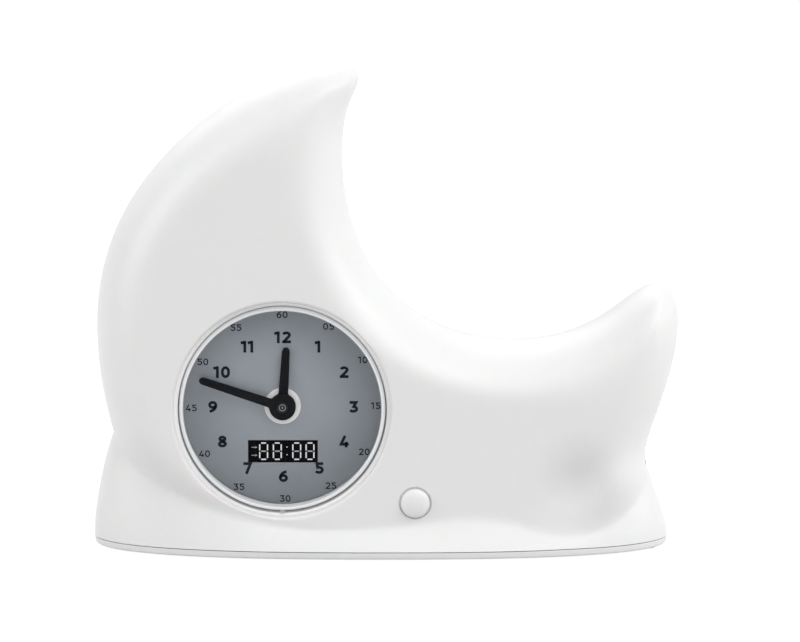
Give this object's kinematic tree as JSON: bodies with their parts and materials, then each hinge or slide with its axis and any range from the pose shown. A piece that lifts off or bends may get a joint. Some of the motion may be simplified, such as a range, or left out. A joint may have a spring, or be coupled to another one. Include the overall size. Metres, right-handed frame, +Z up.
{
  "type": "alarm clock",
  "caption": "Crescent moon bedside alarm clock with night light: translucent shells on a flat base, round analogue dial with digital display, front button.",
  "frame": {"origin": "on the floor, under the middle of the bounding box; the rubber feet stand at z = 0", "axes": "+X to the right of the dial, -Y towards the viewer (the dial side), +Z up"},
  "size_m": [0.2048, 0.074, 0.1697],
  "materials": {
    "shell_white": "translucent milky white moulded plastic, satin",
    "base_white": "opaque white moulded plastic, satin",
    "feet_rubber": "soft grey rubber",
    "screw_steel": "zinc plated steel",
    "lens_clear": "clear polished acrylic",
    "dial_white": "white moulded plastic",
    "dial_grey": "silver grey printed dial, fine satin",
    "hand_black": "satin black painted",
    "brass": "turned brass",
    "arbor_steel": "turned steel",
    "case_black": "black moulded plastic",
    "display_black": "black display face",
    "board_green": "circuit board",
    "board_white": "white light board",
    "led_yellow": "light emitting diode with phosphor",
    "button_white": "white button plastic",
    "button_grey": "pale grey button plastic",
    "socket_steel": "stamped steel",
    "contact_steel": "nickel plated spring steel",
    "cell_jacket": "plain jacket",
    "cone_black": "paper cone",
    "wheel_red": "red moulded plastic"
  },
  "bodies": {
    "housing": {"front_shell": "shell_white", "rear_shell": "shell_white", "base_plate": "base_white", "rubber_feet": "feet_rubber", "base_screws": "screw_steel", "shell_screws": "screw_steel", "dial_lens": "lens_clear", "dial_housing": "dial_white", "dial_plate": "dial_grey", "centre_ring": "dial_white", "dial_screws": "screw_steel", "movement_case": "case_black", "movement_bush": "brass", "bush_nut": "brass", "display_module": "display_black", "display_board": "board_green", "front_switch": "case_black", "switch_board": "board_green", "rear_switches": "case_black", "rear_button_board": "board_green", "light_frame": "board_white", "light_boards": "board_white", "night_leds": "led_yellow", "main_board": "board_green", "usb_socket": "socket_steel", "speaker": "case_black", "speaker_cone": "cone_black", "battery_box": "base_white", "batteries": "cell_jacket", "battery_contacts": "contact_steel"},
    "minute_set": {"minute_hand": "hand_black", "minute_arbor": "arbor_steel", "hand_cap": "hand_black"},
    "hour_set": {"hour_hand": "hand_black", "hour_tube": "brass"},
    "front_button": {"front_button": "button_white", "front_plunger": "case_black"},
    "mode_button": {"mode_button": "button_grey"},
    "plus_button": {"plus_button": "button_grey"},
    "minus_button": {"minus_button": "button_grey"},
    "battery_door": {"battery_door": "base_white", "door_screw": "screw_steel"},
    "set_knob": {"hand_set_knob": "button_grey", "set_stem": "button_grey", "set_wheel": "wheel_red"}
  },
  "joints": [
    {"name": "minute_hand_turn", "type": "hinge", "parent": "housing", "child": "minute_set", "pos_m": [-0.0355, 0, 0.0517], "axis": [0, 1, 0], "continuous": true},
    {"name": "hour_hand_turn", "type": "hinge", "parent": "housing", "child": "hour_set", "pos_m": [-0.0355, 0, 0.0517], "axis": [0, 1, 0], "continuous": true},
    {"name": "set_knob_turn", "type": "hinge", "parent": "housing", "child": "set_knob", "pos_m": [-0.0215, 0, 0.0377], "axis": [0, 1, 0], "continuous": true},
    {"name": "front_button_press", "type": "slide", "parent": "housing", "child": "front_button", "axis": [0, 1, 0], "range_m": [0, 0.0012], "stiffness_N_per_m": 400},
    {"name": "mode_button_press", "type": "slide", "parent": "housing", "child": "mode_button", "axis": [0, -1, 0], "range_m": [0, 0.0008], "stiffness_N_per_m": 400},
    {"name": "plus_button_press", "type": "slide", "parent": "housing", "child": "plus_button", "axis": [0, -1, 0], "range_m": [0, 0.0008], "stiffness_N_per_m": 400},
    {"name": "minus_button_press", "type": "slide", "parent": "housing", "child": "minus_button", "axis": [0, -1, 0], "range_m": [0, 0.0008], "stiffness_N_per_m": 400},
    {"name": "battery_door_lift", "type": "slide", "parent": "housing", "child": "battery_door", "axis": [0, 0, -1], "range_m": [0, 0.02]}
  ],
  "couplings": [
    {"joint": "hour_hand_turn", "follows": "minute_hand_turn", "ratio": 0.083333},
    {"joint": "set_knob_turn", "follows": "minute_hand_turn", "ratio": -1}
  ]
}
